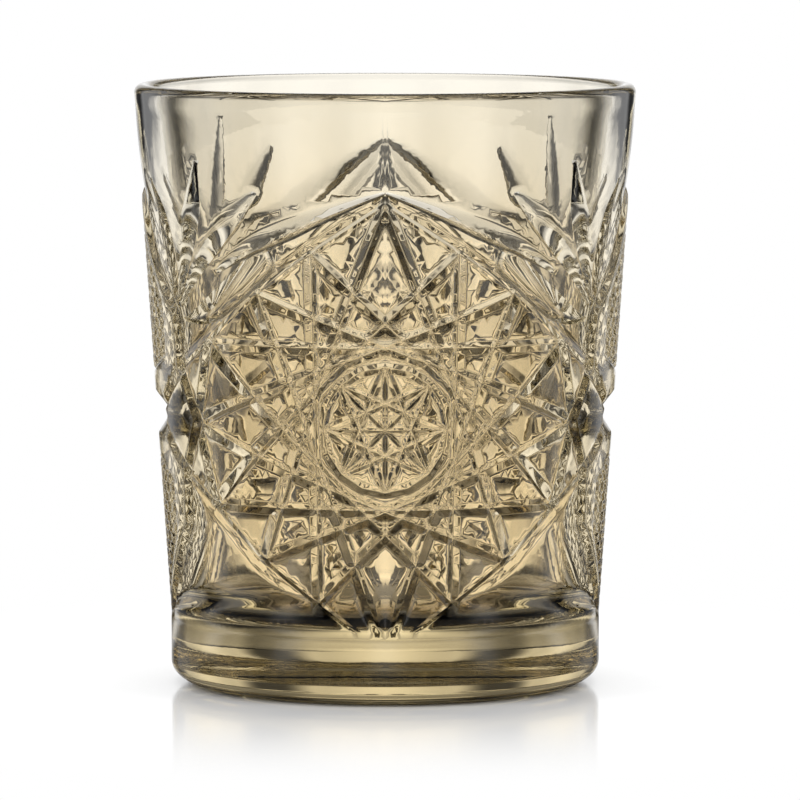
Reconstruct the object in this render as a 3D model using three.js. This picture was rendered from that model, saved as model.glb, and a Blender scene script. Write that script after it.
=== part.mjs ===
// Double old fashioned glass: one heavy pressed tumbler with a cut-glass style pattern on its wall.
// Millimetres, +Z up. The foot stands on z = 0, the axis is Z and one star faces the front, -Y.
import * as THREE from 'three';

// Overall sizes
const HEIGHT = 105;
const RIM_DIAMETER = 87.5;
const LIP_THICKNESS = 2.9;
const FACET_COUNT = 64;

// Cavity
const FLOOR_HEIGHT = 12.8;
const FLOOR_DIAMETER = 63.4;
const FLOOR_FILLET = 6;
const CAVITY_ROWS = 7;

// Foot, with a hollow underside and a flat ring to stand on
const FOOT_DIAMETER = 75;
const FOOT_WIDEST_HEIGHT = 4.6;
const FOOT_EDGE_WIDTH = 6;
const BEARING_WIDTH = 2;
const UNDERSIDE_HOLLOW = 0.3;
const UNDERSIDE_FLAT_SHARE = 0.7;

// Wall, from the top of the foot up to the lip
const WALL_START_HEIGHT = 12;
const WALL_START_DIAMETER = 74.2;
const NECK_HEIGHT = 13.4;
const NECK_WIDTH = 1.2;
const NECK_DEPTH = 0.5;

// The pattern is drawn for a glass of one height, and stretches upwards with a taller one
const DRAWN_HEIGHT = 105;
const DRAWN_CENTRE_HEIGHT = 47.8;

// Star: sixteen tips round a centre, each joined to the sixth tip on
const STAR_TIP_COUNT = 16;
const STAR_STEPS = 6;
const STAR_REACHES = [38.4, 32.4, 32.2, 36.2, 37.5];
const STAR_GROOVE_WIDTH = 1.7;
const STAR_GROOVE_DEPTH = 0.9;

// Button in the middle of the star: a ring round a small eight-pointed star
const BUTTON_RADIUS = 10.6;
const BUTTON_RING_WIDTH = 1.2;
const BUTTON_RING_DEPTH = 0.7;
const BUTTON_STAR_STEPS = 3;
const BUTTON_GROOVE_WIDTH = 1;
const BUTTON_GROOVE_DEPTH = 0.5;

// Rhombus round the star, with a deep waist where two of them meet at the side
const RHOMBUS_CORNER_ACROSS = 42;
const RHOMBUS_CORNER_REACH = 8.9;
const MITRE_WIDTH = 2.2;
const MITRE_DEPTH = 1.2;
const WAIST_START_ACROSS = 54;
const WAIST_WIDTH = 7;
const WAIST_DEPTH = 2.2;

// Kites at the sides, above and below the waist, each with a square-hatched field
const KITE_SHOULDER_ACROSS = 42.7;
const KITE_SHOULDER_REACH = 18.6;
const KITE_APEX_REACH = 40.6;
const KITE_BORDER_WIDTH = 3;
const KITE_BORDER_DEPTH = 1.1;
const HATCH_PITCH = 3.5;
const HATCH_WIDTH = 1.5;
const HATCH_DEPTH = 0.45;
const HATCH_FIRST_REACH = 7;
const HATCH_TOP_REACH = 35.8;
const HATCH_SHOULDER_REACH = 20;
const HATCH_HALF_WIDTH = 13.6;

// Fans between each rhombus and kite, above the waist only
const FAN_ACROSS = 41;
const FAN_REACH = 21.8;
const LEAF_ANGLES = [9, -24, -54];
const LEAF_LENGTHS = [21, 23.5, 24];
const LEAF_SWELL = 2.6;
const LEAF_BOW = 2.4;
const LEAF_STEPS = 6;
const LEAF_GROOVE_WIDTH = 0.8;
const LEAF_GROOVE_DEPTH = 0.6;
const FLUTE_DEPTH = 0.5;
const FLUTE_END_BULGE = 2.6;
const FLUTE_END_STEPS = 4;
const FLUTE_ON_KITE_SHARE = 0.72;
const FLUTE_ON_RHOMBUS_SHARE = 0.35;

// Plain sunk panels in the lower corners
const PANEL_START_HEIGHT = 17.4;
const PANEL_DEPTH = 0.5;

// Longest straight run across the curved wall, and the closest that two corners may be
const LONGEST_RUN = 6.5;
const CLOSEST_CORNERS = 0.12;
const SHORTEST_TOP_SIDE = 0.1;
const LEAST_SHARE = 0.001;

const DEGREE = Math.PI / 180;
const RIM_RADIUS = RIM_DIAMETER / 2;
const LIP_RADIUS = LIP_THICKNESS / 2;
const LIP_HEIGHT = HEIGHT - LIP_RADIUS;
const STRETCH = HEIGHT / DRAWN_HEIGHT;
const PATTERN_CENTRE_HEIGHT = DRAWN_CENTRE_HEIGHT * STRETCH;
const WALL_TAPER = (RIM_RADIUS - WALL_START_DIAMETER / 2) / (LIP_HEIGHT - WALL_START_HEIGHT);

// Radius of the plain outer wall at a height.
function wallRadius(height) {
  return WALL_START_DIAMETER / 2 + WALL_TAPER * (height - WALL_START_HEIGHT);
}

// A quarter of the wall laid flat: millimetres across from the front, taken at the pattern's middle.
const QUARTER_LENGTH = wallRadius(PATTERN_CENTRE_HEIGHT) * 90 * DEGREE;

// A point of the flat map wrapped onto the wall: across, height and how far it stands out.
function wrapped([across, height, out]) {
  const radius = wallRadius(height) + out;
  const angle = across / QUARTER_LENGTH * 90 * DEGREE;
  return [radius * Math.sin(angle), -radius * Math.cos(angle), height];
}

// A point of the flat map from a distance across and above the pattern's middle.
function fromCentre(across, up) {
  return new THREE.Vector2(across, PATTERN_CENTRE_HEIGHT + up * STRETCH);
}

// Points at equal turns round the pattern's middle, the first one upright.
function roundCentre(count, reach) {
  return Array.from({ length: count }, (_, index) => {
    const angle = index * 360 / count * DEGREE;
    return fromCentre(reach(index) * Math.sin(angle), reach(index) * Math.cos(angle));
  });
}

// The same path below the pattern's middle.
function flipped(path) {
  return path.map(({ x, y }) => new THREE.Vector2(x, 2 * PATTERN_CENTRE_HEIGHT - y));
}

// The lines of the pattern. Each is the bottom of a groove with a width and a depth.
const lines = [];

// Rules a path as it is.
function ruleWhole(path, width, depth) {
  for (let leg = 0; leg + 1 < path.length; leg += 1) {
    lines.push({ from: path[leg], to: path[leg + 1], width, depth });
  }
}

// The part of a line past a limit, or nothing.
function past(line, axis, limit) {
  if (!line) return null;
  const [start, end] = line.map((place) => place[axis] - limit);
  if (start <= 0 && end <= 0) return null;
  const crossing = line[0].clone().lerp(line[1], start / (start - end));
  return [start < 0 ? crossing : line[0], end < 0 ? crossing : line[1]];
}

// Rules a path on the quarter map, without what lies left of it or under the neck.
function rule(path, width, depth) {
  for (let leg = 0; leg + 1 < path.length; leg += 1) {
    const line = past(past([path[leg], path[leg + 1]], 'x', 0), 'y', NECK_HEIGHT);
    if (line) ruleWhole(line, width, depth);
  }
}

// Joins every tip of a star to the tip some steps on.
function ruleStar(tips, step, width, depth) {
  tips.forEach((tip, index) => rule([tip, tips[(index + step) % tips.length]], width, depth));
}

// Places that lie lower than the wall, each with a point inside it.
const sunkPlaces = [];

// The edges of the quarter map, with a corner at each facet of the lip and foot.
function ruleEdges() {
  const facets = FACET_COUNT / 4;
  const across = Array.from({ length: facets + 1 }, (_, facet) => QUARTER_LENGTH * facet / facets);
  for (const height of [WALL_START_HEIGHT, LIP_HEIGHT]) {
    ruleWhole(across.map((place) => new THREE.Vector2(place, height)), 0, 0);
  }
  for (const place of [0, QUARTER_LENGTH]) {
    ruleWhole([new THREE.Vector2(place, WALL_START_HEIGHT), new THREE.Vector2(place, LIP_HEIGHT)], 0, 0);
  }
  const neck = [0, QUARTER_LENGTH].map((place) => new THREE.Vector2(place, NECK_HEIGHT));
  ruleWhole(neck, NECK_WIDTH, NECK_DEPTH);
}

// The big star and the button inside it.
const QUARTER_TIP_COUNT = STAR_TIP_COUNT / 4;
const TIPS = roundCentre(STAR_TIP_COUNT, (index) => {
  const turn = index % (2 * QUARTER_TIP_COUNT);
  return STAR_REACHES[turn <= QUARTER_TIP_COUNT ? turn : 2 * QUARTER_TIP_COUNT - turn];
});

// Rules both stars and the ring between them.
function ruleStars() {
  ruleStar(TIPS, STAR_STEPS, STAR_GROOVE_WIDTH, STAR_GROOVE_DEPTH);
  const ring = roundCentre(STAR_TIP_COUNT, () => BUTTON_RADIUS);
  ruleStar(ring, 1, BUTTON_RING_WIDTH, BUTTON_RING_DEPTH);
  const tips = ring.filter((_, index) => index % 2 === 0);
  ruleStar(tips, BUTTON_STAR_STEPS, BUTTON_GROOVE_WIDTH, BUTTON_GROOVE_DEPTH);
}

// The rhombus through the star's tips, its inner lines, the waist and the borders of the kites.
const RHOMBUS_CORNER = fromCentre(RHOMBUS_CORNER_ACROSS, RHOMBUS_CORNER_REACH);
const WAIST_START = fromCentre(WAIST_START_ACROSS, 0);
const KITE_SHOULDER = fromCentre(KITE_SHOULDER_ACROSS, KITE_SHOULDER_REACH);
const KITE_APEX = fromCentre(QUARTER_LENGTH, KITE_APEX_REACH);

// Rules the same borders above and below the pattern's middle.
function ruleBorders() {
  const side = [...TIPS.slice(0, QUARTER_TIP_COUNT), RHOMBUS_CORNER, WAIST_START];
  const inner = [RHOMBUS_CORNER, TIPS[QUARTER_TIP_COUNT], TIPS[QUARTER_TIP_COUNT + 1]];
  const kite = [RHOMBUS_CORNER, KITE_SHOULDER, KITE_APEX];
  for (const turn of [(path) => path, flipped]) {
    rule(turn(side), MITRE_WIDTH, MITRE_DEPTH);
    rule(turn(inner), STAR_GROOVE_WIDTH, STAR_GROOVE_DEPTH);
    rule(turn(kite), KITE_BORDER_WIDTH, KITE_BORDER_DEPTH);
  }
  rule([WAIST_START, fromCentre(QUARTER_LENGTH, 0)], WAIST_WIDTH, WAIST_DEPTH);
}

// The hatched fields: an outline, then rows and columns that stop at it.
function ruleHatching() {
  const slope = HATCH_HALF_WIDTH / (HATCH_TOP_REACH - HATCH_SHOULDER_REACH);
  const halfWidth = (reach) => Math.min(HATCH_HALF_WIDTH, (HATCH_TOP_REACH - reach) * slope);
  const inField = (across, up) => fromCentre(QUARTER_LENGTH - across, up);
  const paths = [[
    inField(0, HATCH_FIRST_REACH),
    inField(HATCH_HALF_WIDTH, HATCH_FIRST_REACH + HATCH_PITCH),
    inField(HATCH_HALF_WIDTH, HATCH_SHOULDER_REACH),
    inField(0, HATCH_TOP_REACH),
  ]];
  const firstRow = HATCH_FIRST_REACH + HATCH_PITCH;
  for (let reach = firstRow; reach < HATCH_TOP_REACH - HATCH_PITCH / 2; reach += HATCH_PITCH) {
    paths.push([inField(0, reach), inField(halfWidth(reach), reach)]);
  }
  for (let column = HATCH_PITCH / 2; column < HATCH_HALF_WIDTH - HATCH_PITCH / 4; column += HATCH_PITCH) {
    const start = HATCH_FIRST_REACH + HATCH_PITCH * column / HATCH_HALF_WIDTH;
    paths.push([inField(column, start), inField(column, HATCH_TOP_REACH - column / slope)]);
  }
  for (const path of paths) {
    rule(path, HATCH_WIDTH, HATCH_DEPTH);
    rule(flipped(path), HATCH_WIDTH, HATCH_DEPTH);
  }
}

// A point on a bowed path out of the fan's foot: direction from upright, length, share and side.
function inFan(direction, length, share, side) {
  const aim = new THREE.Vector2(Math.sin(direction * DEGREE), Math.cos(direction * DEGREE));
  const left = 4 * LEAF_BOW * share * (1 - share) + side;
  const across = FAN_ACROSS + aim.x * length * share - aim.y * left;
  return fromCentre(across, FAN_REACH + aim.y * length * share + aim.x * left);
}

// The two sides of one leaf, from the fan's foot to the leaf's tip.
function leafSides(direction, length) {
  return [1, -1].map((side) => Array.from({ length: LEAF_STEPS + 1 }, (_, step) => {
    const share = step / LEAF_STEPS;
    const half = LEAF_SWELL / 2 * Math.sin(Math.PI * share ** 1.3);
    return inFan(direction, length, share, side * half);
  }));
}

// Leaves, and the rounded ends of the sunk flutes between them.
function ruleFan() {
  const leaves = LEAF_ANGLES.map((direction, index) => leafSides(direction, LEAF_LENGTHS[index]));
  const root = fromCentre(FAN_ACROSS, FAN_REACH);
  rule([root, KITE_SHOULDER], LEAF_GROOVE_WIDTH, LEAF_GROOVE_DEPTH);
  leaves.flat().forEach((side) => rule(side, LEAF_GROOVE_WIDTH, LEAF_GROOVE_DEPTH));
  const onKite = KITE_SHOULDER.clone().lerp(KITE_APEX, FLUTE_ON_KITE_SHARE);
  const onRhombus = TIPS[1].clone().lerp(TIPS[2], FLUTE_ON_RHOMBUS_SHARE);
  const step = LEAF_STEPS - 2;
  const ends = [
    [onKite, leaves[0][1][step]],
    [leaves[0][0][step], leaves[1][1][step]],
    [leaves[1][0][step], leaves[2][1][step]],
    [leaves[2][0][step], onRhombus],
  ];
  for (const [start, end] of ends) {
    const outward = start.clone().add(end).divideScalar(2).sub(root).normalize();
    const rounded = Array.from({ length: FLUTE_END_STEPS + 1 }, (_, index) => {
      const share = index / FLUTE_END_STEPS;
      const rise = FLUTE_END_BULGE * Math.sin(Math.PI * share);
      return start.clone().lerp(end, share).addScaledVector(outward, rise);
    });
    rule(rounded, LEAF_GROOVE_WIDTH, LEAF_GROOVE_DEPTH);
    const inside = start.clone().add(end).divideScalar(2);
    sunkPlaces.push({ inside, depth: FLUTE_DEPTH });
  }
}

// The lower edge of the sunk panel between a rhombus, a lower kite and the neck.
function rulePanel() {
  const start = new THREE.Vector2(0, PANEL_START_HEIGHT);
  const [low, high] = flipped([TIPS[1], TIPS[0]]).reverse();
  const [shoulder, apex] = flipped([KITE_SHOULDER, KITE_APEX]);
  const at = (from, to) => from.clone().lerp(to, (start.y - from.y) / (to.y - from.y));
  const from = start.y < high.y ? at(low, high) : at(high, flipped([TIPS[2]])[0]);
  rule([from, at(shoulder, apex)], STAR_GROOVE_WIDTH, PANEL_DEPTH);
  const inside = new THREE.Vector2(RHOMBUS_CORNER_ACROSS, (start.y + shoulder.y) / 2);
  sunkPlaces.push({ inside, depth: PANEL_DEPTH });
}

// Where a line meets another, as a share of the first, or nothing.
function meeting(line, other) {
  const a = line.to.clone().sub(line.from);
  const b = other.to.clone().sub(other.from);
  const gap = other.from.clone().sub(line.from);
  const turn = a.cross(b);
  if (Math.abs(turn) < 1e-6) return null;
  const share = gap.cross(b) / turn;
  const otherShare = gap.cross(a) / turn;
  const slack = CLOSEST_CORNERS / b.length();
  return otherShare > -slack && otherShare < 1 + slack ? share : null;
}

// The map's corners and edges: every line cut where it meets another.
function ruledMap() {
  const corners = [];
  const edges = new Map();
  const cornerAt = (place) => {
    const known = corners.findIndex(({ x, y }) => Math.hypot(x - place.x, y - place.y) < CLOSEST_CORNERS);
    if (known >= 0) return known;
    return corners.push(place) - 1;
  };
  for (const line of lines) {
    const { width, depth } = line;
    const slack = CLOSEST_CORNERS / line.to.distanceTo(line.from);
    const shares = lines.map((other) => (other === line ? null : meeting(line, other)));
    const cuts = [0, 1, ...shares.filter((share) => share !== null && share > slack && share < 1 - slack)];
    const places = cuts.sort((a, b) => a - b).map((share) => line.from.clone().lerp(line.to, share));
    for (let leg = 0; leg + 1 < places.length; leg += 1) {
      const [a, b] = [cornerAt(places[leg]), cornerAt(places[leg + 1])];
      const key = a < b ? `${a} ${b}` : `${b} ${a}`;
      if (a !== b && !edges.has(key)) edges.set(key, { ends: [a, b], width, depth });
    }
  }
  return { corners, edges: [...edges.values()] };
}

// Leaves out edges that end in the open, so that only edges round cells stay.
function withoutLooseEnds({ corners, edges }) {
  const uses = corners.map((_, corner) => edges.filter(({ ends }) => ends.includes(corner)).length);
  const kept = edges.filter(({ ends }) => ends.every((corner) => uses[corner] > 1));
  return kept.length === edges.length ? { corners, edges } : withoutLooseEnds({ corners, edges: kept });
}

// Cuts long edges into equal runs, so that they follow the curve of the wall.
function inShortRuns({ corners, edges }) {
  const places = [...corners];
  const short = edges.flatMap((edge) => {
    const [from, to] = edge.ends.map((corner) => corners[corner]);
    const runs = Math.ceil(Math.abs(to.x - from.x) / LONGEST_RUN);
    const chain = [edge.ends[0]];
    for (let run = 1; run < runs; run += 1) chain.push(places.push(from.clone().lerp(to, run / runs)) - 1);
    chain.push(edge.ends[1]);
    return chain.slice(1).map((end, run) => ({ ...edge, ends: [chain[run], end] }));
  });
  return { corners: places, edges: short };
}

// The cells between the lines, each a loop of {corner, edge} that runs round it to the left.
function cellsOf({ corners, edges }) {
  const leaving = corners.map(() => []);
  for (const edge of edges) {
    for (const [start, end] of [edge.ends, [...edge.ends].reverse()]) {
      const angle = corners[end].clone().sub(corners[start]).angle();
      leaving[start].push({ start, end, edge, angle, used: false });
    }
  }
  leaving.forEach((ways) => ways.sort((a, b) => a.angle - b.angle));
  const cells = [];
  for (const first of leaving.flat()) {
    const loop = [];
    for (let way = first; !way.used;) {
      way.used = true;
      loop.push({ place: corners[way.start], corner: way.start, edge: way.edge });
      const ways = leaving[way.end];
      const back = ways.findIndex((next) => next.end === way.start && next.edge === way.edge);
      way = ways[(back + ways.length - 1) % ways.length];
    }
    if (loop.length > 2 && THREE.ShapeUtils.area(loop.map(({ place }) => place)) > 1e-6) cells.push(loop);
  }
  return cells;
}

// Where the moved sides before and after a corner of a cell meet.
function sidesMeet(before, after) {
  const turn = before.along.cross(after.along);
  if (Math.abs(turn) < 0.08) return before.end.clone().lerp(after.start, 0.5);
  const run = after.start.clone().sub(before.start).cross(after.along) / turn;
  return before.start.clone().addScaledVector(before.along, run);
}

// The flat top of a cell: its sides moved in by a share of half of each groove's width.
// A side that would turn round is left out, and the sides next to it meet instead.
function movedIn(loop, share) {
  const count = loop.length;
  let sides = loop.map(({ place, edge }, first) => {
    const next = loop[(first + 1) % count].place;
    const along = next.clone().sub(place).normalize();
    const inward = new THREE.Vector2(-along.y, along.x).multiplyScalar(edge.width / 2 * share);
    return { first, along, start: place.clone().add(inward), end: next.clone().add(inward) };
  });
  while (sides.length > 2) {
    const corners = sides.map((side, index) => sidesMeet(sides.at(index - 1), side));
    const runs = sides.map(({ along }, index) => {
      return corners[(index + 1) % corners.length].clone().sub(corners[index]).dot(along);
    });
    const shortest = Math.min(...runs);
    if (shortest > SHORTEST_TOP_SIDE) {
      const cornerOf = loop.map((_, index) => Math.max(0, sides.findIndex(({ first }) => first >= index)));
      return { corners, cornerOf, kept: new Set(sides.map(({ first }) => first)) };
    }
    sides = sides.filter((_, index) => runs[index] !== shortest);
  }
  return null;
}

// Whether a place lies inside a cell.
function contains(loop, { x, y }) {
  let inside = false;
  loop.forEach(({ place: a }, index) => {
    const b = loop[(index + 1) % loop.length].place;
    if ((a.y > y) !== (b.y > y) && x < a.x + (b.x - a.x) * (y - a.y) / (b.y - a.y)) inside = !inside;
  });
  return inside;
}

// Twice the area of the triangle of three places, positive when it runs to the left.
function turnOf(a, b, c) {
  return (b.x - a.x) * (c.y - a.y) - (b.y - a.y) * (c.x - a.x);
}

// The angle at a place between the ways to two others.
function angleAt(place, a, b) {
  return Math.abs(Math.atan2(turnOf(place, a, b), a.clone().sub(place).dot(b.clone().sub(place))));
}

// Swaps the side that two triangles share wherever the other diagonal makes both rounder.
function rounder(faces, places) {
  const better = faces.map((face) => [...face]);
  for (let changed = true; changed;) {
    changed = false;
    const owners = new Map();
    better.forEach((face, owner) => face.forEach((corner, side) => {
      owners.set(`${corner} ${face[(side + 1) % 3]}`, { owner, side });
    }));
    const touched = new Set();
    for (const [key, { owner, side }] of owners) {
      const twin = owners.get(key.split(' ').reverse().join(' '));
      if (!twin || touched.has(owner) || touched.has(twin.owner)) continue;
      const [a, b, c] = [0, 1, 2].map((step) => better[owner][(side + step) % 3]);
      const d = better[twin.owner][(twin.side + 2) % 3];
      const [pa, pb, pc, pd] = [a, b, c, d].map((corner) => places[corner]);
      const convex = turnOf(pa, pd, pc) > 1e-3 && turnOf(pd, pb, pc) > 1e-3;
      if (!convex || angleAt(pc, pa, pb) + angleAt(pd, pa, pb) < Math.PI + 1e-6) continue;
      better[owner] = [a, d, c];
      better[twin.owner] = [d, b, c];
      touched.add(owner).add(twin.owner);
      changed = true;
    }
  }
  return better;
}

// The widest flat top that a cell has room for, with its triangles.
function flatTop(loop) {
  for (let share = 1; share > LEAST_SHARE; share *= 0.8) {
    const top = movedIn(loop, share);
    if (!top) continue;
    const faces = rounder(THREE.ShapeUtils.triangulateShape(top.corners, []), top.corners);
    const sizes = faces.map((face) => turnOf(...face.map((corner) => top.corners[corner])));
    const total = sizes.reduce((sum, size) => sum + size, 0);
    const even = Math.abs(total / 2 - THREE.ShapeUtils.area(top.corners)) < 1e-6;
    const whole = even && faces.length === top.corners.length - 2;
    if (whole && Math.min(...sizes) > 0) return { share, top, faces };
  }
  throw new Error('a cell of the pattern has no room for its flat top');
}

// Triangles of one cell: slopes up from the grooves round it to its flat top.
// A cell too small for its grooves has a lower top, but one at the lip or foot stays level with it.
function cellFace(loop, depths) {
  const { share, top, faces } = flatTop(loop);
  const deepest = Math.max(...loop.map(({ corner }) => depths[corner]));
  const sunk = sunkPlaces.find(({ inside }) => contains(loop, inside))?.depth ?? 0;
  const atRing = loop.some(({ place }) => place.y === WALL_START_HEIGHT || place.y === LIP_HEIGHT);
  const level = atRing ? 0 : -sunk - deepest * (1 - share);
  const low = loop.map(({ place, corner }) => [place.x, place.y, -depths[corner]]);
  const high = top.corners.map((place) => [place.x, place.y, level]);
  const triangles = faces.map((face) => face.map((corner) => high[corner]));
  loop.forEach(({ edge }, index) => {
    if (edge.width === 0 && top.kept.has(index)) return;
    const next = (index + 1) % loop.length;
    const [start, end] = [high[top.cornerOf[index]], high[top.cornerOf[next]]];
    triangles.push([low[index], low[next], end]);
    if (start !== end) triangles.push([low[index], end, start]);
  });
  return triangles;
}

// Halves triangles until none runs too far across the curved wall.
function halved(triangle) {
  const runs = triangle.map(([across], index) => Math.abs(triangle[(index + 1) % 3][0] - across));
  const longest = runs.indexOf(Math.max(...runs));
  if (runs[longest] < LONGEST_RUN * 1.4) return [triangle];
  const [a, b, c] = [0, 1, 2].map((step) => triangle[(longest + step) % 3]);
  const middle = a.map((value, axis) => (value + b[axis]) / 2);
  return [[a, middle, c], [middle, b, c]].flatMap(halved);
}

// Triangles of the whole wall: one quarter wrapped, then its three mirror copies.
function wallFace() {
  ruleEdges();
  ruleStars();
  ruleBorders();
  ruleHatching();
  ruleFan();
  rulePanel();
  const map = inShortRuns(withoutLooseEnds(ruledMap()));
  const depths = map.corners.map((_, corner) => {
    return Math.max(0, ...map.edges.filter(({ ends }) => ends.includes(corner)).map(({ depth }) => depth));
  });
  const quarter = cellsOf(map).flatMap((loop) => cellFace(loop, depths)).flatMap(halved);
  const copies = [[1, 1], [-1, 1], [1, -1], [-1, -1]];
  return copies.flatMap(([left, back]) => quarter.map((triangle) => {
    const corners = triangle.map((corner) => {
      const [x, y, z] = wrapped(corner);
      return [x * left, y * back, z];
    });
    return left * back > 0 ? corners : corners.reverse();
  }));
}

// Points along part of an ellipse, from one angle to another.
function ellipsePart(centre, radii, from, to, steps) {
  return Array.from({ length: steps + 1 }, (_, step) => {
    const angle = (from + (to - from) * step / steps) * DEGREE;
    return [centre[0] + radii[0] * Math.cos(angle), centre[1] + radii[1] * Math.sin(angle)];
  });
}

// Profile of the underside and foot, from the axis to the wall.
function footProfile() {
  const bearing = FOOT_DIAMETER / 2 - FOOT_EDGE_WIDTH;
  return [
    [0, UNDERSIDE_HOLLOW],
    [bearing * UNDERSIDE_FLAT_SHARE, UNDERSIDE_HOLLOW],
    [bearing - BEARING_WIDTH, 0],
    ...ellipsePart([bearing, FOOT_WIDEST_HEIGHT], [FOOT_EDGE_WIDTH, FOOT_WIDEST_HEIGHT], -90, 0, 4),
    [wallRadius(WALL_START_HEIGHT), WALL_START_HEIGHT],
  ];
}

// Profile of the lip and the cavity, from the wall to the axis. The wall grows thicker downwards in an even curve.
function cavityProfile() {
  const floor = FLOOR_DIAMETER / 2;
  const start = FLOOR_HEIGHT + FLOOR_FILLET;
  const flare = RIM_RADIUS - LIP_THICKNESS - floor;
  const inside = Array.from({ length: CAVITY_ROWS - 1 }, (_, row) => {
    const share = 1 - (row + 1) / CAVITY_ROWS;
    return [floor + flare * share ** 2, start + (LIP_HEIGHT - start) * share];
  });
  return [
    ...ellipsePart([RIM_RADIUS - LIP_RADIUS, LIP_HEIGHT], [LIP_RADIUS, LIP_RADIUS], 0, 180, 4),
    ...inside,
    ...ellipsePart([floor - FLOOR_FILLET, start], [FLOOR_FILLET, FLOOR_FILLET], 0, -90, 3),
    [0, FLOOR_HEIGHT],
  ];
}

// Triangles of a turned face.
function turnedFace(profile) {
  const lathe = new THREE.LatheGeometry(profile.map((point) => new THREE.Vector2(...point)), FACET_COUNT);
  lathe.rotateX(Math.PI / 2);
  const position = lathe.getAttribute('position');
  const corners = Array.from(lathe.index.array, (index) => {
    return new THREE.Vector3().fromBufferAttribute(position, index).toArray();
  });
  return Array.from({ length: corners.length / 3 }, (_, index) => corners.slice(index * 3, index * 3 + 3));
}

// Joins triangles into one closed skin by sharing corners that meet.
function welded(triangles) {
  const points = [];
  const known = new Map();
  const grid = (value) => Math.round(value * 1000);
  const indexOf = (corner) => {
    const home = corner.map(grid);
    for (let near = 0; near < 27; near += 1) {
      const shift = [near % 3 - 1, Math.floor(near / 3) % 3 - 1, Math.floor(near / 9) - 1];
      const key = home.map((value, axis) => value + shift[axis]).join(' ');
      if (known.has(key)) return known.get(key);
    }
    known.set(home.join(' '), points.length);
    return points.push(corner) - 1;
  };
  const faces = triangles.map((triangle) => triangle.map(indexOf));
  const whole = faces.filter(([a, b, c]) => a !== b && b !== c && c !== a);
  const geometry = new THREE.BufferGeometry();
  geometry.setAttribute('position', new THREE.Float32BufferAttribute(points.flat(), 3));
  geometry.setIndex(whole.flat());
  geometry.computeVertexNormals();
  return geometry;
}

const glass = new THREE.MeshStandardMaterial({
  color: new THREE.Color(0.72, 0.62, 0.42),
  roughness: 0.06,
  metalness: 0,
  transparent: true,
  opacity: 0.45,
});

const tumbler = new THREE.Mesh(
  welded([...turnedFace(footProfile()), ...wallFace(), ...turnedFace(cavityProfile())]),
  glass,
);
tumbler.name = 'tumbler';

const doubleOldFashioned = new THREE.Group();
doubleOldFashioned.name = 'double_old_fashioned_glass';
doubleOldFashioned.add(tumbler);

export default doubleOldFashioned;
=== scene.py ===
"""Looks of a double old fashioned glass: a finely modelled pressed tumbler in a white studio.

Sizes are millimetres up to the point where a mesh is made, because the relief is drawn on a flat map of the
wall. The map runs across from the front of the glass and up from the table, and a quarter of it makes the
whole wall.
"""

import math

import bpy
import numpy as np
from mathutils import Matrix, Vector, kdtree, noise
from mathutils.geometry import delaunay_2d_cdt


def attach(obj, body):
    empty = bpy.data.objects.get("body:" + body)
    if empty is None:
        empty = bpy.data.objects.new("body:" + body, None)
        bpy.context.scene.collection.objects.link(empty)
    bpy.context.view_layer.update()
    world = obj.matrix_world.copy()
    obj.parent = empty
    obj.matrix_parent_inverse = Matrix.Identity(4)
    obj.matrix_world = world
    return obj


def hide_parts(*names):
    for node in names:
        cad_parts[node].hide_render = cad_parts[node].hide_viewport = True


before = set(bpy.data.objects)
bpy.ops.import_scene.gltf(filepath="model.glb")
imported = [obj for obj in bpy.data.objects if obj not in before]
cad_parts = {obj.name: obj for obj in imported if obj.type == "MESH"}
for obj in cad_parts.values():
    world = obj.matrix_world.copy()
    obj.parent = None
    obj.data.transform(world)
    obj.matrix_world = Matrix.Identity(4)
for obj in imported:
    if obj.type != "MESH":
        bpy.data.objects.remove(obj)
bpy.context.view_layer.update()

MM = 0.001

# Overall sizes
HEIGHT = 105
RIM_RADIUS = 43.75
LIP_RADIUS = 1.45
LIP_HEIGHT = HEIGHT - LIP_RADIUS

# Cavity
FLOOR_HEIGHT = 12.8
FLOOR_RADIUS = 31.7
FLOOR_FILLET = 6

# Foot
FOOT_RADIUS = 37.5
FOOT_WIDEST_HEIGHT = 4.2
FOOT_EDGE_WIDTH = 6
FOOT_SIDE_HEIGHT = 11
BEARING_WIDTH = 2
UNDERSIDE_HOLLOW = 0.3

# Wall and neck
WALL_START_HEIGHT = 12
WALL_START_RADIUS = 37.45
NECK_HEIGHT = 13
NECK_HALF_WIDTH = 0.8
NECK_DEPTH = 0.05
NECK_FADE = (-1, 1.2)

# Star, button, rhombus and waist
CENTRE_HEIGHT = 47.8
STAR_TIP_COUNT = 16
STAR_STEPS = 6
STAR_REACHES = [38.4, 32.4, 32.2, 36.2, 37.5]
STAR_HALF_WIDTH = 1.15
STAR_DEPTH = 1.0
BUTTON_RADIUS = 10.8
BUTTON_RING_HALF_WIDTH = 0.95
BUTTON_RING_DEPTH = 0.7
BUTTON_STAR_STEPS = 3
BUTTON_HALF_WIDTH = 0.7
BUTTON_DEPTH = 0.45
SPOKE_HALF_WIDTH = 0.45
SPOKE_DEPTH = 0.35
RHOMBUS_CORNER = (42, 8.9)
BORDER_BEVEL = 2.4
BORDER_HALF_WIDTH = 0.55
BORDER_DEPTH = 0.4
WAIST_START_ACROSS = 54
WAIST_HALF_WIDTH = 3.8
WAIST_DEPTH = 2.2

# Kites and hatching
KITE_SHOULDER = (42.7, 18.6)
KITE_APEX_REACH = 40.6
KITE_HALF_WIDTH = 1.6
KITE_DEPTH = 1.1
KITE_RIM = 3.3
HATCH_PITCH = 3.5
HATCH_HALF_WIDTH = 0.75
HATCH_DEPTH = 0.45
HATCH_FIRST_REACH = 7
HATCH_TOP_REACH = 35.8
HATCH_SHOULDER_REACH = 20
HATCH_FIELD_HALF_WIDTH = 13.6

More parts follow.
